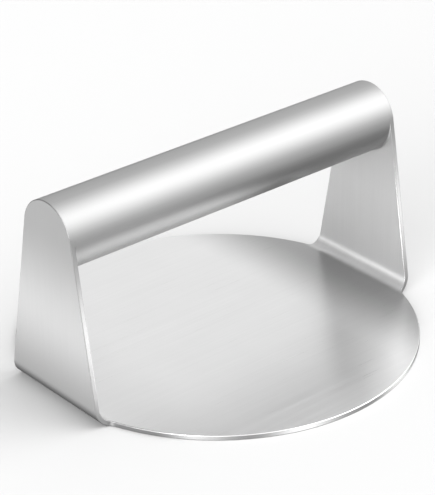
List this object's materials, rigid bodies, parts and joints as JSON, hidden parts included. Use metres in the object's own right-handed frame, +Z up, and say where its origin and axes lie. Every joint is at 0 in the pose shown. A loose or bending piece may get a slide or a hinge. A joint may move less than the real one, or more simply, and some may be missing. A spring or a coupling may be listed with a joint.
{
  "type": "bacon press",
  "caption": "Round bacon press: a folded stainless disc with two upright ears and a welded tube handle between them.",
  "frame": {"origin": "centre of the round pressing face, on the surface it rests on", "axes": "+Z up from the pressing face to the handle, +X along the handle from the left ear to the right ear"},
  "size_m": [0.144, 0.142, 0.075],
  "materials": {
    "stainless_sheet": "fine linear brushing along the sheet, with polished deburred edges",
    "stainless_tube": "satin, finely brushed along the tube",
    "weld_metal": "ground and blended"
  },
  "bodies": {
    "root": {"press_plate": "stainless_sheet", "handle_tube": "stainless_tube", "left_weld_bead": "weld_metal", "right_weld_bead": "weld_metal"}
  },
  "joints": []
}
